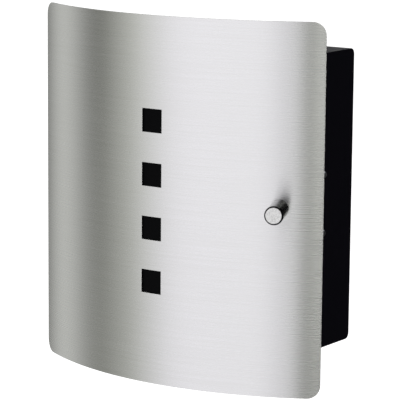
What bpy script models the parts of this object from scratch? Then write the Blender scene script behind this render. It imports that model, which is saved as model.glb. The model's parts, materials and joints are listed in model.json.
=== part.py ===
"""Wall-mounted key cabinet with a curved stainless door held shut by a magnet.

Metres, +Z up, +X to the right, and the front faces -Y. The origin is the middle of the flat
back that lies against the wall. The door's pieces hang from one empty on the hinge axis.
"""
import math

import bmesh
import bpy
from mathutils import Matrix, Vector

FIT = 0.0003                # clearance between pieces that touch or pass through each other

# Door: a steel sheet rolled to an arc about a vertical axis.
DOOR_HEIGHT = 0.240
DOOR_CHORD = 0.220
DOOR_RISE = 0.032           # how far the middle stands in front of the side edges
DOOR_SHEET = 0.001
DOOR_CORNER = 0.0087
DOOR_DROP = 0.0045          # the door's middle is this far below the cabinet's middle
DEPTH = 0.080               # wall to the front of the door

# Windows: one column of square holes on the door's centre line.
WINDOW_SIZE = 0.0153
WINDOW_PITCH = 0.035
WINDOW_COUNT = 4
PANE_THICKNESS = 0.0015
PANE_MARGIN = 0.008

# Cabinet: a folded steel tray, open at the front.
BOX_WIDTH = 0.203
BOX_HEIGHT = 0.190
BOX_SHEET = 0.0012
BACK_BEND = 0.004           # outer radius of the folds from the back to the top and bottom
RIM_GAP = 0.002             # between the tray's rim and the door sheet
KEYHOLE_X = 0.070
KEYHOLE_Z = 0.076
KEYHOLE_HEAD = 0.0042
KEYHOLE_SLOT = 0.0023
KEYHOLE_RISE = 0.0075

# Hinges: two butt hinges between the tray's left wall and the door's inner face.
HINGE_Z = 0.065
HINGE_HEIGHT = 0.040
LEAF_THICKNESS = 0.001
LEAF_LENGTH = 0.0183
BARREL_RADIUS = 0.003
PIN_RADIUS = 0.0015
KNUCKLE_HALF = 0.0067       # half the height of the door leaf's knuckle
RIVET_RADIUS = 0.0014
RIVET_HEAD = 0.0025
RIVET_REACH = 0.011         # rivets' distance from the hinge axis
RIVET_RISE = 0.012

# Knob, and the magnetic catch behind it.
KNOB_ARC = 0.0883           # along the door's face from its centre line
KNOB_RISE = 0.0022          # above the door's middle
KNOB_RADIUS = 0.0060
KNOB_LENGTH = 0.0248
KNOB_ROUND = 0.0009
SCREW_RADIUS = 0.0017
SCREW_DEPTH = 0.010
WASHER_RADIUS = 0.0045
WASHER_THICKNESS = 0.0008
CATCH_SIZE = Vector((0.012, 0.015, 0.046))
CATCH_FRONT = 0.040         # from the wall to the front of the catch's housing
CATCH_Z = -0.0013           # the catch sits a little below the middle of the cabinet
CATCH_SCREW_Y = -0.0350
CATCH_SCREW_RISE = 0.0188
POCKET = Vector((0.009, 0.0123, 0.0206))
POLE_THICKNESS = 0.0012
POLE_STAND = 0.001          # how far the pole plates stand out of the housing
STRIKE_SHEET = 0.0012
STRIKE_HEIGHT = 0.020
STRIKE_FLANGE = 0.014
STRIKE_SIDE = 0.0055        # from the knob's axis to the fold beside it

# Key rails and hooks.
RAIL_WIDTH = 0.170
RAIL_HEIGHTS = (0.046, -0.030)
RAIL_STAND = 0.008          # the hooks' face stands this far off the back flange
RAIL_FLANGE = 0.012
RAIL_FACE = 0.016
HOOKS_PER_RAIL = 5
HOOK_PITCH = 0.034
HOOK_WIRE = 0.0011
HOOK_REACH = 0.012
HOOK_TIP = 0.009
STUD_X = 0.051
STUD_RADIUS = 0.0015
STUD_HEAD = 0.0023
NUT_FLATS = 0.0055
NUT_HEIGHT = 0.0024

# Worked out from the sizes above.
DOOR_RADIUS = (DOOR_CHORD ** 2 / 4 + DOOR_RISE ** 2) / (2 * DOOR_RISE)
DOOR_HALF_ARC = DOOR_RADIUS * math.asin(DOOR_CHORD / 2 / DOOR_RADIUS)
CURVE_Y = DOOR_RADIUS - DEPTH
RIM_RADIUS = DOOR_RADIUS - DOOR_SHEET - RIM_GAP
HINGE_X = -BOX_WIDTH / 2 - FIT - BARREL_RADIUS
HINGE_Y = CURVE_Y - math.sqrt((DOOR_RADIUS - DOOR_SHEET - FIT - BARREL_RADIUS) ** 2 - HINGE_X ** 2)
CATCH_X = BOX_WIDTH / 2 - BOX_SHEET - FIT - CATCH_SIZE.x / 2
STRIKE_Y = -CATCH_FRONT - POLE_STAND - FIT - STRIKE_SHEET / 2
RAIL_FACE_Y = -BOX_SHEET - FIT - RAIL_STAND
BLACK_PAINT = ("black_powder_coat", (0.010, 0.010, 0.012), 0.0, 0.42)
STAINLESS = ("brushed_stainless", (0.62, 0.62, 0.61), 1.0, 0.32)
DARK_CHROME = ("dark_chrome", (0.22, 0.22, 0.22), 1.0, 0.06)
ZINC = ("zinc_plated_steel", (0.55, 0.56, 0.58), 1.0, 0.35)
BLACK_PLASTIC = ("black_plastic", (0.020, 0.020, 0.021), 0.0, 0.50)
BLACK_PANE = ("black_pane", (0.003, 0.003, 0.003), 0.0, 0.60)
FERRITE = ("ferrite_magnet", (0.035, 0.034, 0.036), 0.0, 0.70)


def clear_scene():
    for obj in list(bpy.data.objects):
        bpy.data.objects.remove(obj, do_unlink=True)


def material(finish):
    """The named finish: (name, colour, metallic, roughness)."""
    name, colour, metallic, roughness = finish
    found = bpy.data.materials.get(name)
    if found:
        return found
    made = bpy.data.materials.new(name)
    made.use_nodes = True
    shader = made.node_tree.nodes["Principled BSDF"]
    shader.inputs["Base Color"].default_value = (*colour, 1.0)
    shader.inputs["Metallic"].default_value = metallic
    shader.inputs["Roughness"].default_value = roughness
    return made


def mesh_from(bm, name, finish=None):
    bmesh.ops.recalc_face_normals(bm, faces=bm.faces)
    mesh = bpy.data.meshes.new(name)
    bm.to_mesh(mesh)
    bm.free()
    mesh.shade_smooth()
    mesh.set_sharp_from_angle(angle=math.radians(35))
    if finish:
        mesh.materials.append(material(finish))
    return mesh


def place(name, mesh, location=(0, 0, 0), turn=(0, 0, 0), parent=None):
    """An object for the mesh. A parent keeps it where it was placed in the world."""
    obj = bpy.data.objects.new(name, mesh)
    bpy.context.collection.objects.link(obj)
    obj.location = location
    obj.rotation_euler = turn
    if parent:
        obj.parent = parent
        obj.matrix_parent_inverse = Matrix.Translation(parent.location).inverted()
    return obj


def cut(target, cutter_mesh, location=(0, 0, 0), turn=(0, 0, 0), operation="DIFFERENCE"):
    """A hidden cutter (or an addition) for the target, in the world's frame."""
    cutter = place(f"cutter_{len(bpy.data.objects)}", cutter_mesh, location, turn)
    cutter.hide_render = True
    cutter.display_type = "WIRE"
    modifier = target.modifiers.new("cut", "BOOLEAN")
    modifier.operation = operation
    modifier.solver = "EXACT"
    modifier.object = cutter


def prism(outline, low, high):
    """A bmesh of the XY outline from height low to height high."""
    bm = bmesh.new()
    face = bm.faces.new([bm.verts.new((x, y, low)) for x, y in outline])
    raised = bmesh.ops.extrude_face_region(bm, geom=[face])["geom"]
    lifted = [item for item in raised if isinstance(item, bmesh.types.BMVert)]
    bmesh.ops.translate(bm, verts=lifted, vec=(0, 0, high - low))
    return bm


def block(size, centre=(0, 0, 0)):
    half = Vector(size) / 2
    corners = ((-1, -1), (1, -1), (1, 1), (-1, 1))
    outline = [(centre[0] + half.x * sx, centre[1] + half.y * sy) for sx, sy in corners]
    return prism(outline, centre[2] - half.z, centre[2] + half.z)


def bevel_edges(bm, chosen, width, segments):
    edges = [edge for edge in bm.edges if chosen(edge)]
    bmesh.ops.bevel(bm, geom=edges, offset=width, segments=segments, profile=0.5,
                    affect="EDGES", clamp_overlap=True)


def tube(path, sides, closed=False):
    """A skin of rings along a path in the YZ plane: each entry is (y, z, radius, tilt).

    The tilt is the ring's angle from the XY plane. A closed path joins its last ring to its
    first, and an open one is capped.
    """
    bm = bmesh.new()
    rings = []
    for y, z, radius, tilt in path:
        ring = []
        for k in range(sides):
            angle = 2 * math.pi * k / sides
            across = radius * math.sin(angle)
            point = (radius * math.cos(angle), y + across * math.cos(tilt), z + across * math.sin(tilt))
            ring.append(bm.verts.new(point))
        rings.append(ring)
    pairs = list(zip(rings, rings[1:]))
    if closed:
        pairs.append((rings[-1], rings[0]))
    else:
        bm.faces.new(rings[0])
        bm.faces.new(rings[-1])
    for first, second in pairs:
        for k in range(sides):
            after = (k + 1) % sides
            bm.faces.new((first[k], first[after], second[after], second[k]))
    return bm


def turned(profile, sides=16, closed=False):
    """A turned piece along +Z from its profile of (height, radius)."""
    return tube([(0, height, radius, 0) for height, radius in profile], sides, closed)


def drill(radius, length, sides=16):
    """A cutter mesh: a straight cylinder along Z, centred on its origin."""
    return mesh_from(turned([(-length / 2, radius), (length / 2, radius)], sides), "drill")


def on_door(arc, depth):
    """The XY point at an arc length from the centre line and a depth behind the face."""
    angle = arc / DOOR_RADIUS
    radius = DOOR_RADIUS - depth
    return Vector((radius * math.sin(angle), CURVE_Y - radius * math.cos(angle), 0))


def curved_plate(columns, rows_at, depth, thickness, is_hole=None):
    """A plate rolled with the door, from arc positions and the row heights at each of them."""
    bm = bmesh.new()
    skins = []
    for skin_depth in (depth, depth + thickness):
        skins.append([[bm.verts.new(on_door(arc, skin_depth) + Vector((0, 0, z))) for z in rows_at(arc)]
                      for arc in columns])
    cells = {(i, j) for i in range(len(columns) - 1) for j in range(len(skins[0][0]) - 1)
             if not (is_hole and is_hole(i, j))}
    for i, j in cells:
        corners = ((i, j), (i + 1, j), (i + 1, j + 1), (i, j + 1))
        for skin in skins:
            bm.faces.new([skin[a][b] for a, b in corners])
        sides = ((i, j - 1), (i + 1, j), (i, j + 1), (i - 1, j))
        for k, neighbour in enumerate(sides):
            if neighbour not in cells:
                a, b = corners[k], corners[(k + 1) % 4]
                bm.faces.new([skins[0][a[0]][a[1]], skins[0][b[0]][b[1]],
                              skins[1][b[0]][b[1]], skins[1][a[0]][a[1]]])
    return bm


def window_edges():
    """The heights of the windows' bottom and top edges, upwards, from the door's middle."""
    lowest = -WINDOW_PITCH * (WINDOW_COUNT - 1) / 2
    centres = [lowest + WINDOW_PITCH * k for k in range(WINDOW_COUNT)]
    return [centre + side * WINDOW_SIZE / 2 for centre in centres for side in (-1, 1)]


def door_columns(steps=13, corner_steps=5):
    """Arc positions across the door: window edges, even steps, then the corners' rounds."""
    straight_end = DOOR_HALF_ARC - DOOR_CORNER
    start = WINDOW_SIZE / 2
    right = [start + (straight_end - start) * k / steps for k in range(steps + 1)]
    right += [straight_end + DOOR_CORNER * math.sin(math.pi / 2 * k / corner_steps)
              for k in range(1, corner_steps + 1)]
    return [-arc for arc in reversed(right)] + right


def door_rows(arc):
    """Row heights at an arc position, where the rounded corners shorten the ends."""
    inset = max(0.0, abs(arc) - (DOOR_HALF_ARC - DOOR_CORNER))
    drop = DOOR_CORNER - math.sqrt(max(0.0, DOOR_CORNER ** 2 - inset ** 2))
    end = DOOR_HEIGHT / 2 - drop
    return [z - DOOR_DROP for z in [-end] + window_edges() + [end]]


def door_panel(pivot):
    columns = door_columns()
    middle = len(columns) // 2 - 1
    bm = curved_plate(columns, door_rows, 0, DOOR_SHEET, lambda i, j: i == middle and j % 2 == 1)
    panel = place("door_panel", mesh_from(bm, "door_panel", STAINLESS), parent=pivot)
    centre, turn = knob_place(DOOR_SHEET / 2)
    cut(panel, drill(SCREW_RADIUS + 2 * FIT, 4 * DOOR_SHEET), centre, turn)


def window_pane(pivot):
    half = WINDOW_SIZE / 2 + PANE_MARGIN
    columns = [half * k / 3 for k in range(-3, 4)]
    end = window_edges()[-1] + PANE_MARGIN
    bm = curved_plate(columns, lambda arc: (-end - DOOR_DROP, end - DOOR_DROP),
                      DOOR_SHEET + FIT, PANE_THICKNESS)
    place("window_pane", mesh_from(bm, "window_pane", BLACK_PANE), parent=pivot)


def tray_outline(width, back, front_radius):
    """The tray's plan: a straight back and sides, and a front that follows the door."""
    reach = math.asin(width / 2 / front_radius)
    angles = [reach * (1 - k / 12) for k in range(25)]
    front = [(front_radius * math.sin(a), CURVE_Y - front_radius * math.cos(a)) for a in angles]
    return [(-width / 2, back), (width / 2, back)] + front


def tray_solid(width, height, back, front_radius, bend):
    """The back, top and bottom are one folded sheet. The side walls are flat plates."""
    bm = prism(tray_outline(width, back, front_radius), -height / 2, height / 2)
    bevel_edges(bm, lambda edge: all(abs(vert.co.y - back) < 1e-6 for vert in edge.verts)
                and abs(edge.verts[0].co.z - edge.verts[1].co.z) < 1e-6, bend, 5)
    return bm


def keyhole():
    """A cutter along Z: a round head with a narrower slot above it."""
    spread = math.asin(KEYHOLE_SLOT / KEYHOLE_HEAD)
    span = 2 * math.pi - 2 * spread
    start = math.pi / 2 + spread
    turns = [start + span * k / 20 for k in range(21)]
    head = [(KEYHOLE_HEAD * math.cos(turn), KEYHOLE_HEAD * math.sin(turn)) for turn in turns]
    turns = [math.pi * k / 8 for k in range(9)]
    slot = [(KEYHOLE_SLOT * math.cos(turn), KEYHOLE_RISE + KEYHOLE_SLOT * math.sin(turn)) for turn in turns]
    return mesh_from(prism(head + slot, -0.004, 0.004), "keyhole")


def hinge_rivet_places():
    return [(HINGE_Y + RIVET_REACH, side * HINGE_Z + rise) for side in (-1, 1)
            for rise in (-RIVET_RISE, RIVET_RISE)]


def cabinet_shell():
    outer = tray_solid(BOX_WIDTH, BOX_HEIGHT, 0, RIM_RADIUS, BACK_BEND)
    shell = place("cabinet_shell", mesh_from(outer, "cabinet_shell", BLACK_PAINT))
    inner = tray_solid(BOX_WIDTH - 2 * BOX_SHEET, BOX_HEIGHT - 2 * BOX_SHEET, -BOX_SHEET,
                       RIM_RADIUS + 0.030, BACK_BEND - BOX_SHEET)
    cut(shell, mesh_from(inner, "cavity"))
    for x in (-KEYHOLE_X, KEYHOLE_X):
        cut(shell, keyhole(), (x, 0, KEYHOLE_Z), (math.pi / 2, 0, 0))
    sideways = (0, math.pi / 2, 0)
    for y, z in hinge_rivet_places():
        cut(shell, drill(RIVET_RADIUS + FIT, 0.008), (-BOX_WIDTH / 2, y, z), sideways)
    for rise in (-CATCH_SCREW_RISE, CATCH_SCREW_RISE):
        point = (BOX_WIDTH / 2, CATCH_SCREW_Y, CATCH_Z + rise)
        cut(shell, drill(RIVET_RADIUS + FIT, 0.008), point, sideways)
    for x, z in stud_places():
        cut(shell, drill(STUD_HEAD + FIT, 0.008), (x, 0, z), (math.pi / 2, 0, 0))


def leaf_outline():
    """A knuckle's plan: the barrel, with a tab that leaves it at a tangent towards +Y."""
    start = math.acos(1 - LEAF_THICKNESS / BARREL_RADIUS)
    steps = 20
    barrel = [start + (2 * math.pi - start) * k / steps for k in range(steps + 1)]
    outline = [(BARREL_RADIUS * math.cos(a), BARREL_RADIUS * math.sin(a)) for a in barrel]
    tab_end = BARREL_RADIUS + 4 * FIT
    inner = BARREL_RADIUS - LEAF_THICKNESS
    return outline + [(BARREL_RADIUS, tab_end), (inner, tab_end)]


def hinge_leaf(name, knuckles, location, turn_z, rivet_rises, parent=None):
    """One leaf, with its barrel on the object's own Z axis and its plate towards its +Y."""
    start = BARREL_RADIUS + FIT
    middle = (BARREL_RADIUS - LEAF_THICKNESS / 2, (start + LEAF_LENGTH) / 2, 0)
    plate = block((LEAF_THICKNESS, LEAF_LENGTH - start, HINGE_HEIGHT), middle)
    bevel_edges(plate, lambda edge: all(vert.co.y > LEAF_LENGTH - 1e-6 for vert in edge.verts)
                and abs(edge.verts[0].co.z - edge.verts[1].co.z) < 1e-6, 0.002, 3)
    leaf = place(name, mesh_from(plate, name, ZINC), location, (0, 0, turn_z), parent)
    for low, high in knuckles:
        cut(leaf, mesh_from(prism(leaf_outline(), low, high), "knuckle"), location, (0, 0, turn_z), "UNION")
    cut(leaf, drill(PIN_RADIUS + FIT, 2 * HINGE_HEIGHT, 20), location)
    for rise in rivet_rises:
        point = Vector(location) + Vector((BARREL_RADIUS, RIVET_REACH, rise))
        cut(leaf, drill(RIVET_RADIUS + FIT, 0.008), point, (0, math.pi / 2, 0))


def hinge(label, z, pivot):
    half = HINGE_HEIGHT / 2
    split = KNUCKLE_HALF + FIT
    axis = (HINGE_X, HINGE_Y, z)
    hinge_leaf(f"hinge_cabinet_leaf_{label}", ((-half, -split), (split, half)), axis, 0,
               (-RIVET_RISE, RIVET_RISE))
    barrel_angle = math.asin(-HINGE_X / (DOOR_RADIUS - DOOR_SHEET - FIT - BARREL_RADIUS))
    lean = barrel_angle - LEAF_LENGTH / 2 / DOOR_RADIUS
    hinge_leaf(f"hinge_door_leaf_{label}", ((-KNUCKLE_HALF, KNUCKLE_HALF),), axis,
               -math.pi / 2 - lean, (), pivot)
    head = PIN_RADIUS + 0.0008
    cap = half + FIT + 0.001
    profile = [(-cap, head - 0.0004), (-half - 2 * FIT, head), (-half - FIT, head), (-half - FIT, PIN_RADIUS),
               (half + FIT, PIN_RADIUS), (half + FIT, head), (half + 2 * FIT, head), (cap, head - 0.0004)]
    place(f"hinge_pin_{label}", mesh_from(turned(profile, 20), "hinge_pin", ZINC), axis)


def rivet_mesh(grip):
    """A domed rivet along +Z through a grip: made head below z = 0, formed head above it."""
    top = grip + 2 * FIT
    dome = [(-0.0012 * math.sin(a), RIVET_HEAD * math.cos(a)) for a in (1.25, 0.8, 0.4, 0.0)]
    profile = dome + [(0, RIVET_RADIUS), (top, RIVET_RADIUS), (top, 0.0022), (top + 0.0006, 0.0021),
                      (top + 0.0009, 0.0015)]
    return mesh_from(turned(profile), "rivet", ZINC)


def hinge_rivets():
    mesh = rivet_mesh(LEAF_THICKNESS + FIT + BOX_SHEET)
    left = HINGE_X + BARREL_RADIUS - LEAF_THICKNESS - FIT
    for count, (y, z) in enumerate(hinge_rivet_places(), 1):
        place(f"hinge_rivet_{count}", mesh, (left, y, z), (0, math.pi / 2, 0))


def knob_place(depth):
    """The point on the knob's axis at a depth behind the face, and the turn of +Z outwards."""
    point = on_door(KNOB_ARC, depth) + Vector((0, 0, KNOB_RISE - DOOR_DROP))
    return point, (math.pi / 2, 0, KNOB_ARC / DOOR_RADIUS)


def knob(pivot):
    bore = SCREW_RADIUS + FIT
    end = KNOB_LENGTH
    profile = [(SCREW_DEPTH + 0.001, bore), (0, bore), (0, KNOB_RADIUS - 0.0004), (0.0004, KNOB_RADIUS)]
    for step in range(5):
        angle = math.pi / 2 * step / 4
        radius = KNOB_RADIUS - KNOB_ROUND * (1 - math.cos(angle))
        profile.append((end - KNOB_ROUND * (1 - math.sin(angle)), radius))
    place("knob", mesh_from(turned(profile, 40), "knob", DARK_CHROME), *knob_place(-FIT), pivot)


def knob_screw(pivot):
    """The washer and screw that clamp the strike plate and the knob to the door."""
    strike_back = strike_depth() + STRIKE_SHEET / 2
    hole = SCREW_RADIUS + FIT
    ring = [(0, hole), (0, WASHER_RADIUS), (WASHER_THICKNESS, WASHER_RADIUS), (WASHER_THICKNESS, hole)]
    washer_depth = strike_back + FIT + WASHER_THICKNESS
    place("knob_washer", mesh_from(turned(ring, 24, True), "knob_washer", ZINC),
          *knob_place(washer_depth), pivot)
    head_depth = washer_depth + FIT
    stem = head_depth + SCREW_DEPTH
    profile = [(-0.0024, 0.0022), (-0.0019, 0.0031), (-0.0010, 0.0035), (0, 0.0035), (0, SCREW_RADIUS),
               (stem - 0.0006, SCREW_RADIUS), (stem, SCREW_RADIUS - 0.0006)]
    place("knob_screw", mesh_from(turned(profile, 20), "knob_screw", ZINC), *knob_place(head_depth), pivot)


def strike_depth():
    """The depth behind the door's face of the middle of the strike plate's flange."""
    bow = (STRIKE_FLANGE - STRIKE_SIDE) ** 2 / (2 * DOOR_RADIUS)
    return DOOR_SHEET + FIT + bow + STRIKE_SHEET / 2


def folded_strip(path, thickness):
    """The XY outline of a strip of sheet folded along the path, with mitred folds."""
    sides = ([], [])
    for k, point in enumerate(path):
        before = (path[k] - path[k - 1]).normalized() if k else None
        after = (path[k + 1] - path[k]).normalized() if k + 1 < len(path) else None
        along = ((before or after) + (after or before)).normalized()
        mitre = Vector((-along.y, along.x))
        leg = before or after
        reach = thickness / 2 / mitre.dot(Vector((-leg.y, leg.x)))
        sides[0].append(point + mitre * reach)
        sides[1].append(point - mitre * reach)
    return sides[0] + sides[1][::-1]


def strike_plate(pivot):
    """A folded plate: a flange on the door, a leg back, and a face for the magnet."""
    angle = KNOB_ARC / DOOR_RADIUS
    along = Vector((math.cos(angle), math.sin(angle)))
    middle = on_door(KNOB_ARC, strike_depth()).to_2d()
    fold = middle + along * STRIKE_SIDE
    face_end = Vector((CATCH_X + CATCH_SIZE.x / 2 - 2 * FIT, STRIKE_Y))
    path = [fold - along * STRIKE_FLANGE, fold, Vector((fold.x, STRIKE_Y)), face_end]
    bm = prism(folded_strip(path, STRIKE_SHEET), -STRIKE_HEIGHT / 2, STRIKE_HEIGHT / 2)
    plate = place("strike_plate", mesh_from(bm, "strike_plate", ZINC), parent=pivot)
    cut(plate, drill(SCREW_RADIUS + FIT, 0.006), *knob_place(strike_depth()))


def catch_housing():
    """The catch's plastic body: a pocket for the magnet and two screw holes from the wall."""
    centre = Vector((CATCH_X, CATCH_SIZE.y / 2 - CATCH_FRONT, CATCH_Z))
    body = block(CATCH_SIZE, centre)
    bevel_edges(body, lambda edge: True, 0.0008, 2)
    housing = place("catch_housing", mesh_from(body, "catch_housing", BLACK_PLASTIC))
    pocket = block((POCKET.x, POCKET.y * 2, POCKET.z), (CATCH_X, -CATCH_FRONT, CATCH_Z))
    cut(housing, mesh_from(pocket, "pocket"))
    for rise in (-CATCH_SCREW_RISE, CATCH_SCREW_RISE):
        point = (CATCH_X + CATCH_SIZE.x / 2, CATCH_SCREW_Y, CATCH_Z + rise)
        cut(housing, drill(RIVET_RADIUS + FIT, 2 * (CATCH_SIZE.x - 0.002)), point, (0, math.pi / 2, 0))


def catch_magnet():
    """A magnet between two steel pole plates, in the housing's pocket."""
    depth = POCKET.y - FIT
    height = POCKET.z - 2 * FIT
    pole_centre = (POCKET.x - POLE_THICKNESS) / 2 - FIT
    for label, side in (("left", -1), ("right", 1)):
        size = (POLE_THICKNESS, depth + POLE_STAND, height)
        centre = (CATCH_X + side * pole_centre, -CATCH_FRONT + (depth - POLE_STAND) / 2, CATCH_Z)
        place(f"catch_pole_{label}", mesh_from(block(size, centre), "catch_pole", ZINC))
    width = 2 * (pole_centre - POLE_THICKNESS / 2 - FIT)
    magnet = block((width, depth, height), (CATCH_X, -CATCH_FRONT + depth / 2, CATCH_Z))
    place("catch_magnet", mesh_from(magnet, "catch_magnet", FERRITE))


def catch_screws():
    length = CATCH_SIZE.x - 0.0035
    profile = [(-0.0016, 0.0015), (-0.0012, 0.0023), (-0.0006, 0.0026), (0, 0.0026), (0, RIVET_RADIUS),
               (length, RIVET_RADIUS), (length + 0.0012, 0.0004)]
    mesh = mesh_from(turned(profile), "catch_screw", ZINC)
    for label, rise in (("lower", -CATCH_SCREW_RISE), ("upper", CATCH_SCREW_RISE)):
        point = (BOX_WIDTH / 2 + FIT, CATCH_SCREW_Y, CATCH_Z + rise)
        place(f"catch_screw_{label}", mesh, point, (0, -math.pi / 2, 0))


def stud_places():
    """XZ of the clinch studs, in the middle of each rail's upper flange."""
    return [(x, z + RAIL_FLANGE / 2) for z in RAIL_HEIGHTS for x in (-STUD_X, STUD_X)]


def hook_places():
    first = -HOOK_PITCH * (HOOKS_PER_RAIL - 1) / 2
    return [(first + HOOK_PITCH * k, z - RAIL_FACE / 2) for z in RAIL_HEIGHTS for k in range(HOOKS_PER_RAIL)]


def hook_rail(label, z):
    """A Z-shaped rail: an upper flange on the cabinet's back, and a face standing off it."""
    flange_y = -BOX_SHEET - FIT - BOX_SHEET / 2
    face_y = RAIL_FACE_Y - BOX_SHEET / 2
    path = [Vector(point) for point in ((flange_y, RAIL_FLANGE), (flange_y, 0), (face_y, 0),
                                        (face_y, -RAIL_FACE))]
    bm = prism(folded_strip(path, BOX_SHEET), -RAIL_WIDTH / 2, RAIL_WIDTH / 2)
    upright = Matrix(((0, 0, 1), (1, 0, 0), (0, 1, 0)))
    bmesh.ops.transform(bm, matrix=upright.to_4x4(), verts=bm.verts)
    rail = place(f"hook_rail_{label}", mesh_from(bm, "hook_rail", BLACK_PAINT), (0, 0, z))
    for x, height in stud_places():
        if height > z and height - z < RAIL_FLANGE:
            cut(rail, drill(STUD_RADIUS + FIT, 0.006), (x, flange_y, height), (math.pi / 2, 0, 0))
    for x, height in hook_places():
        if 0 < z - height < RAIL_FACE:
            cut(rail, drill(HOOK_WIRE + FIT, 0.006, 12), (x, face_y, height), (math.pi / 2, 0, 0))


def hook_mesh():
    """A wire hook along -Y, with a collar each side of the rail's face and a tip turned up."""
    grip = BOX_SHEET / 2 + FIT
    upright = math.pi / 2
    stem = [(grip + 0.0008, 0.0013), (grip + 0.0006, 0.0019), (grip, 0.0019), (grip, HOOK_WIRE),
            (-grip, HOOK_WIRE), (-grip, 0.0019), (-grip - 0.0006, 0.0019), (-grip - 0.0007, HOOK_WIRE)]
    path = [(y, 0, radius, upright) for y, radius in stem]
    bend = 0.004
    for step in range(7):
        angle = upright * step / 6
        path.append((-HOOK_REACH + bend - bend * math.sin(angle), bend - bend * math.cos(angle),
                     HOOK_WIRE, upright - angle))
    path += [(-HOOK_REACH, HOOK_TIP - 0.0005, HOOK_WIRE, 0), (-HOOK_REACH, HOOK_TIP, HOOK_WIRE / 2, 0)]
    return mesh_from(tube(path, 8), "key_hook", ZINC)


def key_hooks():
    mesh = hook_mesh()
    for count, (x, z) in enumerate(hook_places(), 1):
        place(f"key_hook_{count:02d}", mesh, (x, RAIL_FACE_Y - BOX_SHEET / 2, z))


def nut_mesh():
    """A hexagonal nut along Z with a round bore, its faces meeting its own flats."""
    bm = bmesh.new()
    per_flat = 4
    count = 6 * per_flat
    rings = []
    for bore, z in ((True, 0), (False, 0), (False, NUT_HEIGHT), (True, NUT_HEIGHT)):
        ring = []
        for k in range(count):
            angle = 2 * math.pi * k / count
            within = angle % (math.pi / 3) - math.pi / 6
            radius = STUD_RADIUS + FIT if bore else NUT_FLATS / 2 / math.cos(within)
            ring.append(bm.verts.new((radius * math.cos(angle), radius * math.sin(angle), z)))
        rings.append(ring)
    for first, second in zip(rings, rings[1:] + rings[:1]):
        for k in range(count):
            after = (k + 1) % count
            bm.faces.new((first[k], first[after], second[after], second[k]))
    return mesh_from(bm, "rail_nut", ZINC)


def rail_studs():
    """Clinch studs pressed flush into the cabinet's back, and the nuts that hold the rails."""
    back = 0.0001
    head_end = BOX_SHEET - back
    nut_start = 2 * BOX_SHEET + 2 * FIT
    end = nut_start + NUT_HEIGHT + 0.001
    profile = [(back, STUD_HEAD), (head_end, STUD_HEAD), (head_end, STUD_RADIUS), (end - 0.0004, STUD_RADIUS),
               (end, STUD_RADIUS - 0.0004)]
    stud = mesh_from(turned(profile), "rail_stud", ZINC)
    nut = nut_mesh()
    for count, (x, z) in enumerate(stud_places(), 1):
        place(f"rail_stud_{count}", stud, (x, 0, z), (math.pi / 2, 0, 0))
        place(f"rail_nut_{count}", nut, (x, -nut_start, z), (math.pi / 2, 0, 0))


def hinge_axis():
    pivot = bpy.data.objects.new("door_hinge_axis", None)
    bpy.context.collection.objects.link(pivot)
    pivot.location = (HINGE_X, HINGE_Y, 0)
    return pivot


def main():
    clear_scene()
    pivot = hinge_axis()
    cabinet_shell()
    for label, z in zip(("upper", "lower"), RAIL_HEIGHTS):
        hook_rail(label, z)
    key_hooks()
    rail_studs()
    catch_housing()
    catch_magnet()
    catch_screws()
    hinge_rivets()
    for label, z in (("upper", HINGE_Z), ("lower", -HINGE_Z)):
        hinge(label, z, pivot)
    door_panel(pivot)
    window_pane(pivot)
    knob(pivot)
    knob_screw(pivot)
    strike_plate(pivot)


main()
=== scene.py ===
"""The looks of a wall-mounted key cabinet: a curved brushed-steel door on a black steel box.

Metres, in the CAD model's frame: +Z up, and the door faces -Y. Pieces are made round the CAD
nodes they stand for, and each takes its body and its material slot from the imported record.
"""
import json
import math

import bmesh
import bpy
from mathutils import Euler, Matrix, Vector


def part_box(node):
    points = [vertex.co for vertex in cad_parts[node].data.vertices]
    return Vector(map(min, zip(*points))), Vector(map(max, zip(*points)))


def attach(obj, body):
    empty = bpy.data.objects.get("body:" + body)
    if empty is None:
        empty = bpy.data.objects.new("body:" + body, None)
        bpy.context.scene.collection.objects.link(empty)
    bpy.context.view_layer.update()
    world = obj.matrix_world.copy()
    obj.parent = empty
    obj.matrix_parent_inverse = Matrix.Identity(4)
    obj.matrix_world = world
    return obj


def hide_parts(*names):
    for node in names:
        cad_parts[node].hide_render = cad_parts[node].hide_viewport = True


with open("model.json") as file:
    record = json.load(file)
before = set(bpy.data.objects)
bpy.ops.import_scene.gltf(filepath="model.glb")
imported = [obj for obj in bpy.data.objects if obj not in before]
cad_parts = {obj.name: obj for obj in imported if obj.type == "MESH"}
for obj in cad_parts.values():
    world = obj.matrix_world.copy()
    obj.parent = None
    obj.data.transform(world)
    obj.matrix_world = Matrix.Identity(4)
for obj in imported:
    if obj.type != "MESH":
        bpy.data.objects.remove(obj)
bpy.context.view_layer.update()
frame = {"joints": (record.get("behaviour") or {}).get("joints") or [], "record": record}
RECORD = frame["record"]
SLOT_OF = {part["node"]: part["material_slot"] for part in RECORD["subparts"]}
BODY_OF = {node: body for body, nodes in RECORD["behaviour"]["bodies"].items() for node in nodes}

# Camera: a long lens, right of the door and above it.
CAMERA_PLACE = (0.84055, -1.23918, 0.25328)
CAMERA_AZIMUTH = 34.693
CAMERA_ELEVATION = 10.153
CAMERA_ROLL = 0.510
CAMERA_LENS = 204.03

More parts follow.
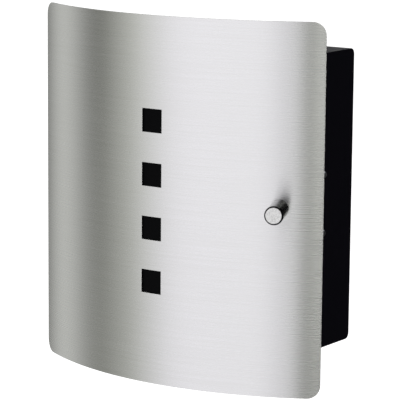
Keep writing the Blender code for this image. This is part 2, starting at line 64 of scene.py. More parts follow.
# Light round the object: azimuth (0 is straight out of the door, 90 is +X), its brightness high
# up, near the horizon and low down, and its colour.
GREENISH = (0.985, 1.0, 0.925)
PALE_GREEN = (0.99, 1.0, 0.955)
NEUTRAL = (1.0, 1.0, 1.0)
LAVENDER = (1.01, 1.0, 1.03)
ROOM = (
    (-180, 0.10, 0.10, 0.10, NEUTRAL),
    (-135, 0.16, 0.16, 0.16, NEUTRAL),
    (-114, 0.14, 0.14, 0.14, PALE_GREEN),
    (-102, 0.38, 0.40, 0.36, PALE_GREEN),
    (-90, 0.76, 0.76, 0.76, PALE_GREEN),
    (-78, 0.52, 0.56, 0.67, PALE_GREEN),
    (-66, 0.20, 0.24, 0.42, GREENISH),
    (-56, 0.48, 0.50, 0.36, GREENISH),
    (-43, 1.02, 0.98, 0.56, PALE_GREEN),
    (-28, 1.34, 1.34, 1.09, LAVENDER),
    (0, 1.41, 1.41, 1.21, LAVENDER),
    (12, 1.35, 1.35, 1.20, LAVENDER),
    (18, 0.90, 1.40, 1.00, LAVENDER),
    (23, 0.15, 2.15, 0.60, NEUTRAL),
    (28, 0.01, 1.35, 0.01, GREENISH),
    (33.5, 0.01, 3.30, 0.01, PALE_GREEN),
    (36.5, 0.01, 0.01, 0.01, NEUTRAL),
    (55, 0.03, 0.03, 0.03, NEUTRAL),
    (72, 0.55, 0.55, 0.55, NEUTRAL),
    (100, 0.45, 0.45, 0.45, NEUTRAL),
    (118, 0.02, 0.02, 0.02, NEUTRAL),
    (165, 0.02, 0.02, 0.02, NEUTRAL),
    (180, 0.10, 0.10, 0.10, NEUTRAL),
)
BRIGHTEST = 3.3             # a colour ramp holds shares of this
LOW_EDGE = (-0.26, -0.14)   # sines of the elevations where low gives way to the horizon,
HIGH_EDGE = (-0.03, 0.04)   # and the horizon to high

# Door: the CAD solid gives its outline, and the arc follows from the chord and the rise.
DOOR_LOW, DOOR_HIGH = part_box("door_panel")
DOOR_HEIGHT = DOOR_HIGH.z - DOOR_LOW.z
DOOR_MIDDLE = (DOOR_HIGH.z + DOOR_LOW.z) / 2
DOOR_CHORD = DOOR_HIGH.x - DOOR_LOW.x
DOOR_RISE = 0.032
DOOR_SHEET = 0.001
DOOR_CORNER = 0.0087
PANE_SHEET = 0.0015
DOOR_RADIUS = (DOOR_CHORD ** 2 / 4 + DOOR_RISE ** 2) / (2 * DOOR_RISE)
DOOR_HALF_ARC = DOOR_RADIUS * math.asin(DOOR_CHORD / 2 / DOOR_RADIUS)
CURVE_Y = DOOR_LOW.y + DOOR_RADIUS
WINDOW_SIZE = 0.0153
WINDOW_PITCH = 0.035
WINDOW_COUNT = 4
EDGE = 0.00045              # rounding of a sheared sheet edge

# Box: the CAD solid gives its outline too.
BOX_LOW, BOX_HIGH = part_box("cabinet_shell")
BOX_HALF = BOX_HIGH.x
BOX_TOP = BOX_HIGH.z
BOX_SHEET = 0.0012
BACK_BEND = 0.004           # outer radius of the folds round the back
SEAM = 0.0001               # half of the groove beside a side plate's weld
SIDE_ROUND = 0.00025        # rounding of a side plate's edges
RIM_RADIUS = CURVE_Y - BOX_LOW.y
KEYHOLE_PLACES = ((-0.070, 0.076), (0.070, 0.076))
KEYHOLE_HEAD = 0.0042       # radius
KEYHOLE_SLOT = 0.0023       # half width
KEYHOLE_RISE = 0.0075       # from the head's centre to the slot's round end

# Knob.
KNOB_ARC = 0.0883           # its place along the door's arc, from the centre line
KNOB_Z = DOOR_MIDDLE + 0.0022
KNOB_RADIUS = 0.0060
KNOB_LENGTH = 0.0248
KNOB_ROUND = 0.0009         # rounding of its end, which the ring shows
KNOB_CHAMFER = 0.0005       # at the post's foot
KNOB_FACE_RISE = 0.00006    # how far the satin face stands out of its ring
FIT = 0.0003                # the CAD model's gap between pieces that touch

# Hinges: the axis comes from the record's joint.
HINGE_X, HINGE_Y = frame["joints"][0]["pos_m"][:2]
HINGE_BARREL = 0.003        # radius of the knuckles
HINGE_PIN = 0.0015          # radius
PIN_CAP = 0.001             # the height of the pin's domed heads
PIN_LIP = 0.0008            # how far they stand out sideways
LEAF_SHEET = 0.001
LEAF_LENGTH = 0.0183        # from the hinge's axis to the free end
LEAF_ROUND = 0.002          # radius of the free end's corners
KNUCKLE_GAP = 1.2           # where the curl ends, in sheet thicknesses short of the leaf
LEAF_EDGE = 0.00012         # rounding of a leaf's edges
KNUCKLE_HALF = 0.0067       # half of the middle knuckle's length
SPOT_REACH = 0.011          # from the hinge's axis to the weld spots
SPOT_PITCH = 0.012
RIVET_RADIUS = 0.0014
RIVET_HEAD = 0.0025
RIVET_DOME = 0.0012

# Magnetic catch and strike plate.
SCREW_DEPTH = 0.010         # how far the knob's screw reaches into it
KNOB_SCREW = 0.0017         # radius
KNOB_SCREW_HEAD = (0.0035, 0.0024)          # radius and height
WASHER_RADIUS = 0.0045
WASHER_SHEET = 0.0008
STRIKE_SHEET = 0.0012
STRIKE_FLANGE = 0.014       # length of the flange on the door
STRIKE_SIDE = 0.0055        # from the knob's axis to the fold beside it
STRIKE_BEND = 0.0016        # to the middle of the sheet
POCKET = (0.0045, 0.0123, 0.0103)           # half width, depth and half height
CATCH_SCREW = 0.0014        # radius
CATCH_HEAD = 0.0016         # the CAD screw head's height
CATCH_DOME = 0.0012         # and the low dome's that is shown
CATCH_DOME_RADIUS = 0.0022
HOUSING_ROUND = 0.0008
HOUSING_WALL = 0.002        # what the screws' holes leave of the housing, inside

# Rails and hooks.
RAIL_FLANGE = 0.012         # height of the flange on the cabinet's back
RAIL_BEND = 0.0016          # to the middle of the sheet
BENT_EDGE = 0.0002          # rounding of the small bent plates
HOOK_WIRE = 0.0011          # radius
HOOK_BEND = 0.004           # to the middle of the wire
COLLAR = 0.0019             # radius of the rings that hold a hook in its rail
COLLAR_LENGTH = 0.0008
STUD_RADIUS = 0.0015
THREAD_PITCH = 0.0005
THREAD_DEPTH = 0.00022
STUD_HEAD = 0.0023          # radius
NUT_FLATS = 0.0055          # across the flats
NUT_HEIGHT = 0.0024
NUT_CHAMFER = 0.0003
CROSS_ARM = 0.22            # half width of a cross recess's arm, as a share of its half length
CROSS_FLOOR = 0.45          # the size of the recess at its floor, as a share
TINY = 0.0001               # the small steps and blunt tips of turned profiles

# Half lengths of the cutters through each sheet.
DOOR_DRILL = 0.003
RAIL_DRILL = 0.004
KEYHOLE_DRILL = 0.004
BACK_DRILL = 0.006
LEAF_DRILL = 0.006
SIDE_DRILL = 0.012

SQUARE = ((-1, -1), (1, -1), (1, 1), (-1, 1))
ALONG_X = (0, math.pi / 2, 0)
ALONG_Y = (math.pi / 2, 0, 0)
FLOOR_Z = -0.60
WHITE = (1.0, 1.0, 1.0, 1.0)


# ---------------------------------------------------------------- studio

def camera():
    data = bpy.data.cameras.new("camera")
    data.lens = CAMERA_LENS
    data.clip_end = 60
    seat = bpy.data.objects.new("camera", data)
    bpy.context.collection.objects.link(seat)
    aim = Euler((math.radians(90 - CAMERA_ELEVATION), 0, math.radians(CAMERA_AZIMUTH))).to_matrix()
    seat.rotation_euler = (aim @ Matrix.Rotation(math.radians(CAMERA_ROLL), 3, "Z")).to_euler()
    seat.location = CAMERA_PLACE
    bpy.context.scene.camera = seat


class WorldTree:
    """The world's node tree, with short ways to add its nodes."""

    def __init__(self):
        self.world = bpy.data.worlds.new("studio")
        self.world.use_nodes = True
        self.tree = self.world.node_tree
        self.tree.nodes.clear()

    def node(self, kind, *sources, **settings):
        """A node with its first inputs linked to the sources, or set where they are numbers."""
        made = self.tree.nodes.new("ShaderNode" + kind)
        for key, value in settings.items():
            setattr(made, key, value)
        for socket, source in zip(made.inputs, sources):
            if isinstance(source, bpy.types.NodeSocket):
                self.tree.links.new(source, socket)
            else:
                socket.default_value = source
        return made

    def share(self, source, low, high, smooth=False):
        """The source's low to high as 0 to 1."""
        kind = "SMOOTHSTEP" if smooth else "LINEAR"
        return self.node("MapRange", source, low, high, interpolation_type=kind).outputs["Result"]

    def ramp(self, source, stops, interpolation):
        """A colour ramp from its stops of (position, colour)."""
        made = self.node("ValToRGB", source)
        elements = made.color_ramp.elements
        elements.remove(elements[1])
        elements[0].position, elements[0].color = stops[0][0], (*stops[0][1], 1)
        for position, colour in stops[1:]:
            elements.new(position).color = (*colour, 1)
        made.color_ramp.interpolation = interpolation
        return made.outputs["Color"]

    def blend(self, factor, first, second, blend_type="MIX"):
        made = self.node("Mix", data_type="RGBA", blend_type=blend_type)
        for name, source in (("Factor", factor), ("A", first), ("B", second)):
            if isinstance(source, bpy.types.NodeSocket):
                self.tree.links.new(source, made.inputs[name])
            else:
                made.inputs[name].default_value = source
        return made.outputs["Result"]


def surroundings():
    """A studio lit from round the object, above and below the horizon, and dark underneath."""
    sky = WorldTree()
    x, y, z = sky.node("SeparateXYZ", sky.node("TexCoord").outputs["Generated"]).outputs
    front = sky.node("Math", y, -1, operation="MULTIPLY").outputs[0]
    azimuth = sky.share(sky.node("Math", x, front, operation="ARCTAN2").outputs[0], -math.pi, math.pi)
    levels = []
    for band in range(3):
        stops = [((turn + 180) / 360, [bright[band] / BRIGHTEST * part for part in colour])
                 for turn, *bright, colour in ROOM]
        levels.append(sky.ramp(azimuth, stops, "CARDINAL"))
    high, horizon, low = levels
    lower = sky.blend(sky.share(z, *LOW_EDGE, smooth=True), low, horizon)
    walls = sky.blend(sky.share(z, *HIGH_EDGE, smooth=True), lower, high)
    dim, full, half = (0.03,) * 3, (1.0,) * 3, (0.5,) * 3
    heights = ((0.06, dim), (0.20, full), (0.80, full), (0.95, half))
    height = sky.ramp(sky.share(z, -1, 1), heights, "LINEAR")
    room = sky.node("Background", sky.blend(1.0, walls, height, "MULTIPLY"), BRIGHTEST)
    paper = sky.node("Background", WHITE)
    seen = sky.node("LightPath").outputs["Is Camera Ray"]
    sky.node("OutputWorld", sky.node("MixShader", seen, room.outputs[0], paper.outputs[0]).outputs[0])
    bpy.context.scene.world = sky.world


def softbox(name, azimuth, elevation, distance, size, radiance):
    """An area light that faces the middle of the object, with its brightness as radiance."""
    data = bpy.data.lights.new(name, "AREA")
    data.shape = "SQUARE"
    data.size = size
    data.energy = radiance * math.pi * size ** 2
    lamp = bpy.data.objects.new(name, data)
    bpy.context.collection.objects.link(lamp)
    a, e = math.radians(azimuth), math.radians(elevation)
    out = Vector((math.sin(a) * math.cos(e), -math.cos(a) * math.cos(e), math.sin(e)))
    lamp.location = out * distance
    lamp.rotation_euler = out.to_track_quat("Z", "Y").to_euler()
    lamp.visible_camera = False


def floor():
    bm = bmesh.new()
    bmesh.ops.create_grid(bm, x_segments=1, y_segments=1, size=30)
    mesh = bpy.data.meshes.new("floor")
    bm.to_mesh(mesh)
    bm.free()
    plane = bpy.data.objects.new("floor", mesh)
    bpy.context.collection.objects.link(plane)
    plane.location.z = FLOOR_Z
    pale = Finish("pale_floor", (0.9, 0.9, 0.9), 0.0, 0.8)
    pale.set("Emission Color", WHITE)
    pale.set("Emission Strength", 0.9)
    mesh.materials.append(pale.material)
    plane.visible_glossy = False
    plane.visible_diffuse = False


def studio():
    bpy.context.scene.view_settings.view_transform = "Standard"
    camera()
    surroundings()
    floor()
    softbox("back_light", azimuth=180, elevation=48, distance=2.0, size=1.0, radiance=5.0)


# ---------------------------------------------------------------- materials

class Finish:
    """A material under construction, with short ways to add its nodes."""

    def __init__(self, name, colour, metallic, roughness):
        self.material = bpy.data.materials.new(name)
        self.material.use_nodes = True
        self.tree = self.material.node_tree
        self.shader = self.tree.nodes["Principled BSDF"]
        self.set("Base Color", (*colour, 1.0))
        self.set("Metallic", metallic)
        self.set("Roughness", roughness)

    def set(self, socket, value):
        self.shader.inputs[socket].default_value = value

    def node(self, kind, **settings):
        made = self.tree.nodes.new("ShaderNode" + kind)
        for key, value in settings.items():
            setattr(made, key, value)
        return made

    def link(self, source, target):
        self.tree.links.new(source, target)

    def noise(self, scale, detail=3.0, stretch=(1, 1, 1)):
        """Noise in the object's own metres, stretched along its axes. Gives the factor."""
        place = self.node("TexCoord")
        mapping = self.node("Mapping")
        mapping.inputs["Scale"].default_value = stretch
        noise = self.node("TexNoise")
        noise.inputs["Scale"].default_value = scale
        noise.inputs["Detail"].default_value = detail
        self.link(place.outputs["Object"], mapping.inputs["Vector"])
        self.link(mapping.outputs[0], noise.inputs["Vector"])
        return noise.outputs["Fac"]

    def mean(self, first, second):
        """The mean of two factors."""
        both = self.node("Mix")
        self.link(first, both.inputs["A"])
        self.link(second, both.inputs["B"])
        return both.outputs["Result"]

    def range(self, factor, low, high, start=0.3, end=0.7):
        """The factor's start to end as low to high."""
        spread = self.node("MapRange")
        spread.inputs["From Min"].default_value = start
        spread.inputs["From Max"].default_value = end
        spread.inputs["To Min"].default_value = low
        spread.inputs["To Max"].default_value = high
        self.link(factor, spread.inputs["Value"])
        return spread.outputs["Result"]

    def tint(self, factor, dark, light):
        """Base colour from dark to light with the factor."""
        mix = self.node("Mix", data_type="RGBA")
        mix.inputs["A"].default_value = (*dark, 1)
        mix.inputs["B"].default_value = (*light, 1)
        self.link(factor, mix.inputs["Factor"])
        self.link(mix.outputs["Result"], self.shader.inputs["Base Color"])

    def rough(self, factor, low, high):
        self.link(self.range(factor, low, high), self.shader.inputs["Roughness"])

    def bump(self, height, distance, strength=1.0):
        bump = self.node("Bump")
        bump.inputs["Strength"].default_value = strength
        bump.inputs["Distance"].default_value = distance
        self.link(height, bump.inputs["Height"])
        self.link(bump.outputs["Normal"], self.shader.inputs["Normal"])


def brushed_stainless():
    """Brushed along the door: long thin streaks, and highlights drawn out up and down."""
    finish = Finish("brushed_stainless", (0.62, 0.62, 0.61), 1.0, 0.30)
    finish.set("Anisotropic", 0.90)
    finish.set("Anisotropic Rotation", 0.25)
    around = finish.node("Tangent", direction_type="RADIAL", axis="Z")
    finish.link(around.outputs[0], finish.shader.inputs["Tangent"])
    fine = finish.noise(1.0, 4.0, (32, 32, 2600))
    coarse = finish.noise(1.0, 3.0, (14, 14, 900))
    streaks = finish.mean(fine, coarse)
    finish.tint(finish.range(streaks, 0.0, 1.0, 0.38, 0.62), (0.605, 0.605, 0.600), (0.645, 0.645, 0.645))
    finish.rough(streaks, 0.25, 0.29)
    finish.bump(finish.noise(1.0, 1.0, (20, 20, 5000)), 0.000006, 0.5)
    return finish.material


def black_powder_coat():
    finish = Finish("black_powder_coat", (0.0060, 0.0050, 0.0115), 0.0, 0.42)
    finish.set("Specular IOR Level", 0.35)
    grain = finish.noise(1500, 2.0)
    finish.rough(grain, 0.36, 0.50)
    finish.bump(grain, 0.00008, 0.5)
    return finish.material


def zinc_plated():
    finish = Finish("zinc_plated_steel", (0.55, 0.56, 0.58), 1.0, 0.33)
    cloud = finish.noise(300, 3.0)
    finish.tint(cloud, (0.48, 0.49, 0.51), (0.62, 0.63, 0.66))
    finish.rough(cloud, 0.26, 0.42)
    return finish.material


def chrome():
    """The knob's post: mirror-smooth chrome whose colour is darkened far below chrome's own, painted shade
    for its dark side, with faint polishing marks.
    """
    # The low base colour is painted shade; only the small spread from the marks varies at random.
    finish = Finish("dark_chrome", (0.15, 0.15, 0.15), 1.0, 0.05)
    marks = finish.noise(900, 2.0)
    finish.tint(marks, (0.13, 0.13, 0.13), (0.17, 0.17, 0.17))
    finish.rough(marks, 0.03, 0.08)
    return finish.material


def painted_shade_ring():
    """The rounded shoulder round the knob's face, painted black: painted shade standing in for the dark
    reflection on that curved edge, with a soft gloss.
    """
    # Near-black base colour: painted shade on the knob's rounded shoulder, not a black part.
    finish = Finish("painted_shade_ring", (0.004, 0.004, 0.005), 0.0, 0.35)
    finish.set("Specular IOR Level", 0.10)
    finish.rough(finish.noise(1200, 2.0), 0.28, 0.42)
    return finish.material


def satin_steel():
    """The knob's face: fine grains that scatter the light."""
    finish = Finish("satin_steel", (0.70, 0.70, 0.69), 1.0, 0.38)
    grain = finish.noise(1500, 2.0)
    finish.tint(finish.range(grain, 0.0, 1.0, 0.38, 0.62), (0.56, 0.56, 0.55), (0.86, 0.86, 0.85))
    finish.rough(grain, 0.32, 0.45)
    finish.bump(grain, 0.00008, 0.6)
    return finish.material


def sheared_edge_highlight():
    """The door's rounded edges: bare steel without the brushed lines, with its colour lifted above the
    door's, partly painted highlight for the bright edge line.
    """
    # Brighter than the door's own steel: partly painted highlight along the edges.
    finish = Finish("sheared_edge_highlight", (0.85, 0.85, 0.84), 1.0, 0.45)
    grain = finish.noise(900, 2.0)
    finish.tint(grain, (0.82, 0.82, 0.81), (0.92, 0.92, 0.91))
    finish.rough(grain, 0.42, 0.52)
    return finish.material


def black_pane():
    finish = Finish("black_pane", (0.0025, 0.0025, 0.0030), 0.0, 0.6)
    finish.set("Specular IOR Level", 0.04)
    finish.rough(finish.noise(700, 2.0), 0.55, 0.70)
    return finish.material


def black_plastic():
    finish = Finish("black_plastic", (0.020, 0.020, 0.021), 0.0, 0.5)
    grain = finish.noise(2500, 2.0)
    finish.rough(grain, 0.42, 0.58)
    finish.bump(grain, 0.00005, 0.4)
    return finish.material


def ferrite():
    finish = Finish("ferrite", (0.035, 0.034, 0.036), 0.0, 0.7)
    grain = finish.noise(4000, 2.0)
    finish.tint(grain, (0.028, 0.027, 0.029), (0.045, 0.044, 0.046))
    finish.bump(grain, 0.00005, 0.6)
    return finish.material


# ---------------------------------------------------------------- mesh tools

def middles(prefix):
    """The middles of the CAD nodes whose names start with the prefix."""
    corners = [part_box(node) for node in sorted(SLOT_OF) if node.startswith(prefix)]
    return [(low + high) / 2 for low, high in corners]


def add_piece(name, bm, node, material=None, rounding=0.0, segments=2, edge_material=None):
    """A finished mesh that stands for the CAD node and takes its body and its slot."""
    bmesh.ops.recalc_face_normals(bm, faces=bm.faces)
    mesh = bpy.data.meshes.new(name)
    bm.to_mesh(mesh)
    bm.free()
    mesh.shade_smooth()
    piece = bpy.data.objects.new(name, mesh)
    bpy.context.collection.objects.link(piece)
    mesh.materials.append(material or MATERIALS[SLOT_OF[node]])
    if rounding:
        bevel = piece.modifiers.new("edges", "BEVEL")
        bevel.width = rounding
        bevel.segments = segments
        bevel.limit_method = "ANGLE"
        bevel.angle_limit = math.radians(40)
        bevel.harden_normals = True
        if edge_material:
            mesh.materials.append(edge_material)
            bevel.material = 1
    else:
        mesh.set_sharp_from_angle(angle=math.radians(35))
    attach(piece, BODY_OF[node])
    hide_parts(node)
    return piece


def cut(piece, bm):
    """Takes the cutter out of the piece's mesh, before its edges are rounded."""
    bmesh.ops.recalc_face_normals(bm, faces=bm.faces)
    mesh = bpy.data.meshes.new("cutter")
    bm.to_mesh(mesh)
    bm.free()
    cutter = bpy.data.objects.new("cutter", mesh)
    bpy.context.collection.objects.link(cutter)
    bare = piece.copy()
    bare.modifiers.clear()
    bpy.context.collection.objects.link(bare)
    boolean = bare.modifiers.new("cut", "BOOLEAN")
    boolean.operation = "DIFFERENCE"
    boolean.solver = "EXACT"
    boolean.object = cutter
    bpy.context.view_layer.update()
    ready = bare.evaluated_get(bpy.context.evaluated_depsgraph_get())
    piece.data = bpy.data.meshes.new_from_object(ready)
    for spent in (bare, cutter):
        bpy.data.objects.remove(spent)


def between_skins(skins, is_hole=None):
    """A closed sheet between two grids of points, with open cells where is_hole says so."""
    bm = bmesh.new()
    grids = [[[bm.verts.new(point) for point in column] for column in skin] for skin in skins]
    wide, tall = len(grids[0]) - 1, len(grids[0][0]) - 1
    cells = {(i, j) for i in range(wide) for j in range(tall) if not (is_hole and is_hole(i, j))}
    for i, j in cells:
        corners = ((i, j), (i + 1, j), (i + 1, j + 1), (i, j + 1))
        for grid in grids:
            bm.faces.new([grid[a][b] for a, b in corners])
        sides = ((i, j - 1), (i + 1, j), (i, j + 1), (i - 1, j))
        for k, neighbour in enumerate(sides):
            if neighbour not in cells:
                (a, b), (c, d) = corners[k], corners[(k + 1) % 4]
                bm.faces.new([grids[0][a][b], grids[0][c][d], grids[1][c][d], grids[1][a][b]])
    return bm


def prism(outline, low, high, axis="Z"):
    """The outline raised from low to high: XY along Z, or YZ along X."""
    def point(pair, level):
        return (*pair, level) if axis == "Z" else (level, *pair)

    bm = bmesh.new()
    rings = [[bm.verts.new(point(pair, level)) for pair in outline] for level in (low, high)]
    for ring in rings:
        bm.faces.new(ring)
    count = len(outline)
    for k in range(count):
        after = (k + 1) % count
        bm.faces.new((rings[0][k], rings[0][after], rings[1][after], rings[1][k]))
    return bm


def bar(low, high):
    """A block between two corners."""
    return prism([(low.x, low.y), (high.x, low.y), (high.x, high.y), (low.x, high.y)], low.z, high.z)


def rings_skin(rings, closed=False):
    """A skin over rings of points, capped at both ends unless it is closed on itself."""
    bm = bmesh.new()
    made = [[bm.verts.new(point) for point in ring] for ring in rings]
    pairs = list(zip(made, made[1:]))
    if closed:
        pairs.append((made[-1], made[0]))
    else:
        bm.faces.new(made[0])
        bm.faces.new(made[-1])
    count = len(made[0])
    for first, second in pairs:
        for k in range(count):
            after = (k + 1) % count
            bm.faces.new((first[k], first[after], second[after], second[k]))
    return bm


def turned(profile, sides=48, closed=False):
    """A turned piece along +Z from its profile of (height, radius)."""
    turns = [2 * math.pi * k / sides for k in range(sides)]
    return rings_skin([[(radius * math.cos(a), radius * math.sin(a), height) for a in turns]
                       for height, radius in profile], closed)


def move(bm, location=(0, 0, 0), turn=(0, 0, 0)):
    """Turns the mesh about the origin, then moves it."""
    matrix = Matrix.Translation(location) @ Euler(turn).to_matrix().to_4x4()
    bmesh.ops.transform(bm, matrix=matrix, verts=bm.verts)
    return bm


def join(bm, other):
    """Adds the other mesh to the first."""
    scratch = bpy.data.meshes.new("part")
    other.to_mesh(scratch)
    other.free()
    bm.from_mesh(scratch)
    bpy.data.meshes.remove(scratch)


def drills(radius, half_length, places, turn=(0, 0, 0)):
    """Round cutters along +Z, or turned from it, one at each place."""
    bm = bmesh.new()
    for place in places:
        join(bm, move(turned([(-half_length, radius), (half_length, radius)], 32), place, turn))
    return bm


def strip(path, thickness):
    """The outline of a sheet that follows the path, with square ends."""
    sides = ([], [])
    for k, point in enumerate(path):
        before = (path[k] - path[k - 1]).normalized() if k else None
        after = (path[k + 1] - path[k]).normalized() if k + 1 < len(path) else None
        along = ((before or after) + (after or before)).normalized()
        mitre = Vector((-along.y, along.x))
        leg = before or after
        reach = thickness / 2 / mitre.dot(Vector((-leg.y, leg.x)))
        sides[0].append(point + mitre * reach)
        sides[1].append(point - mitre * reach)
    return sides[0] + sides[1][::-1]


def rounded(points, radius, steps=6):
    """The path with its inner corners turned into arcs of the radius."""
    path = [points[0]]
    for before, corner, after in zip(points, points[1:], points[2:]):
        entry, leave = (before - corner).normalized(), (after - corner).normalized()
        half = entry.angle(leave) / 2
        centre = corner + (entry + leave).normalized() * radius / math.sin(half)
        start = corner + entry * radius / math.tan(half) - centre
        sweep = -start.angle_signed(corner + leave * radius / math.tan(half) - centre)
        path += [centre + Matrix.Rotation(sweep * k / steps, 2) @ start for k in range(steps + 1)]
    return path + [points[-1]]


def even(start, end, steps):
    """Evenly spaced values from start to end, both included."""
    return [start + (end - start) * k / steps for k in range(steps + 1)]


def quarter(start, steps):
    """Angles of a quarter turn from start, both ends included."""
    return [start + math.pi / 2 * k / steps for k in range(steps + 1)]


# ---------------------------------------------------------------- door

def on_door(arc, depth):
    """The XY point at an arc length from the centre line and a depth behind the face."""
    angle = arc / DOOR_RADIUS
    radius = DOOR_RADIUS - depth
    return Vector((radius * math.sin(angle), CURVE_Y - radius * math.cos(angle), 0))


def rolled_plate(columns, rows_at, depth, thickness, is_hole=None):
    """A sheet that follows the door's curve, between two depths behind the door's face."""
    skins = [[[on_door(arc, level) + Vector((0, 0, z)) for z in rows_at(arc)] for arc in columns]
             for level in (depth, depth + thickness)]
    return between_skins(skins, is_hole)


def window_edges():
    """Heights of the windows' lower and upper edges, from the lowest window up."""
    lowest = DOOR_MIDDLE - WINDOW_PITCH * (WINDOW_COUNT - 1) / 2
    centres = [lowest + WINDOW_PITCH * k for k in range(WINDOW_COUNT)]
    return [centre + side * WINDOW_SIZE / 2 for centre in centres for side in (-1, 1)]


def door_rows(arc):
    """Row heights at an arc position, where the rounded corners shorten the ends."""
    inset = max(0.0, abs(arc) - (DOOR_HALF_ARC - DOOR_CORNER))
    drop = DOOR_CORNER - math.sqrt(max(0.0, DOOR_CORNER ** 2 - inset ** 2))
    end = DOOR_HEIGHT / 2 - drop
    return [DOOR_MIDDLE - end] + window_edges() + [DOOR_MIDDLE + end]


def door_sheet():
    across = even(-WINDOW_SIZE / 2, WINDOW_SIZE / 2, 4)
    straight = even(WINDOW_SIZE / 2, DOOR_HALF_ARC - DOOR_CORNER, 44)[1:]
    corner = [DOOR_HALF_ARC - DOOR_CORNER * (1 - math.sin(a)) for a in quarter(0, 10)][1:]
    right = straight + corner
    columns = [-arc for arc in reversed(right)] + across + right
    first = len(right)

    def is_window(i, j):
        return first <= i < first + len(across) - 1 and j % 2 == 1

    plate = rolled_plate(columns, door_rows, 0, DOOR_SHEET, is_window)
    # The rounded edges take the brighter edge steel: partly painted highlight along the door's edge.
    sheet = add_piece("door_sheet", plate, "door_panel", rounding=EDGE, edge_material=SHEARED_HIGHLIGHT)
    cut(sheet, knob_frame(drills(KNOB_SCREW + FIT, DOOR_DRILL, ((0, 0, 0),)), 0))


def window_backing():
    low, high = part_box("window_pane")
    half = high.x - EDGE
    rows = (low.z, high.z)
    bm = rolled_plate(even(-half, half, 12), lambda arc: rows, DOOR_SHEET + FIT, PANE_SHEET)
    add_piece("window_backing", bm, "window_pane", rounding=EDGE)


# ---------------------------------------------------------------- knob

def knob_frame(bm, depth):
    """Puts a piece turned along +Z on the knob's axis, from a depth behind the door's face."""
    place = on_door(KNOB_ARC, depth) + Vector((0, 0, KNOB_Z))
    return move(bm, place, (math.pi / 2, 0, KNOB_ARC / DOOR_RADIUS))


def knob():
    """A polished post, a rounded ring round its end painted black as shade, and a satin face inside the
    ring.
    """
    shoulder = KNOB_LENGTH - KNOB_ROUND
    bore, deep = KNOB_SCREW + FIT, SCREW_DEPTH + 0.001
    foot = [(deep, 3 * TINY), (deep, bore), (0, bore), (0, KNOB_RADIUS - KNOB_CHAMFER),
            (2 * TINY, KNOB_RADIUS - 2 * TINY), (KNOB_CHAMFER, KNOB_RADIUS)]
    post = [(KNOB_CHAMFER + 2 * TINY, KNOB_RADIUS), (shoulder - 2 * TINY, KNOB_RADIUS),
            (shoulder, KNOB_RADIUS), (shoulder, KNOB_RADIUS - 5 * TINY)]
    add_piece("knob_body", knob_frame(turned(foot + post, 96), -FIT), "knob")
    ring = [(shoulder + KNOB_ROUND * math.sin(a), KNOB_RADIUS - KNOB_ROUND * (1 - math.cos(a)))
            for a in quarter(0, 8)]
    inner = ring[-1][1]
    ring += [(KNOB_LENGTH - 2 * TINY, inner), (shoulder, inner)]
    # The rounded end takes the near-black material: painted shade on the knob's shoulder.
    add_piece("knob_ring", knob_frame(turned(ring, 96, closed=True), -FIT), "knob", PAINTED_SHADE_RING)
    top = KNOB_LENGTH + KNOB_FACE_RISE
    face = [(shoulder, inner), (top - TINY / 2, inner), (top, inner - 1.5 * TINY), (top, inner - 3 * TINY),
            (top, 4 * TINY)]
    add_piece("knob_face", knob_frame(turned(face, 96), -FIT), "knob", SATIN)


# ---------------------------------------------------------------- box

def rim_y(x):
    """The front edge of the box at x: an arc inside the door's."""
    return CURVE_Y - math.sqrt(RIM_RADIUS ** 2 - x ** 2)


def folded_back(offset, front):
    """YZ points of the folded sheet at an offset inside its outer face, from top to bottom."""
    centre_y, centre_z = -BACK_BEND, BOX_TOP - BACK_BEND
    radius = BACK_BEND - offset
    top = [(front, BOX_TOP - offset)] + [(centre_y + radius * math.sin(a), centre_z + radius * math.cos(a))
                                         for a in quarter(0, 8)]
    return top + [(y, -z) for y, z in reversed(top)]


def keyhole(x, z):
    spread = math.asin(KEYHOLE_SLOT / KEYHOLE_HEAD)
    head = even(math.pi / 2 + spread, 5 * math.pi / 2 - spread, 40)
    outline = [(KEYHOLE_HEAD * math.cos(a), KEYHOLE_HEAD * math.sin(a)) for a in head]
    outline += [(KEYHOLE_SLOT * math.cos(a), KEYHOLE_RISE + KEYHOLE_SLOT * math.sin(a))
                for a in even(0, math.pi, 16)]
    return move(prism(outline, -KEYHOLE_DRILL, KEYHOLE_DRILL), (x, 0, z), ALONG_Y)


def box_wrap():
    """The back, top and bottom: one sheet, with a front edge that follows the door."""
    half = BOX_HALF - BOX_SHEET - SEAM
    columns = even(-half, half, 48)
    skins = [[[(x, y, z) for y, z in folded_back(offset, rim_y(x))] for x in columns]
             for offset in (0, BOX_SHEET)]
    wrap = add_piece("box_wrap", between_skins(skins), "cabinet_shell", rounding=EDGE)
    for x, z in KEYHOLE_PLACES:
        cut(wrap, keyhole(x, z))
    cut(wrap, drills(STUD_HEAD + FIT / 3, BACK_DRILL, middles("rail_stud_"), ALONG_Y))


def box_sides():
    """The two side plates, with the folded sheet's outline."""
    outline = folded_back(0, rim_y(BOX_HALF))
    sides = (("left", -1, RIVET_RADIUS, "hinge_rivet_"), ("right", 1, CATCH_SCREW, "catch_screw_"))
    for label, side, radius, prefix in sides:
        bm = prism(outline, side * (BOX_HALF - BOX_SHEET), side * BOX_HALF, "X")
        plate = add_piece(f"box_side_{label}", bm, "cabinet_shell", rounding=SIDE_ROUND)
        cut(plate, drills(radius + FIT, SIDE_DRILL, middles(prefix), ALONG_X))


# ---------------------------------------------------------------- hinges

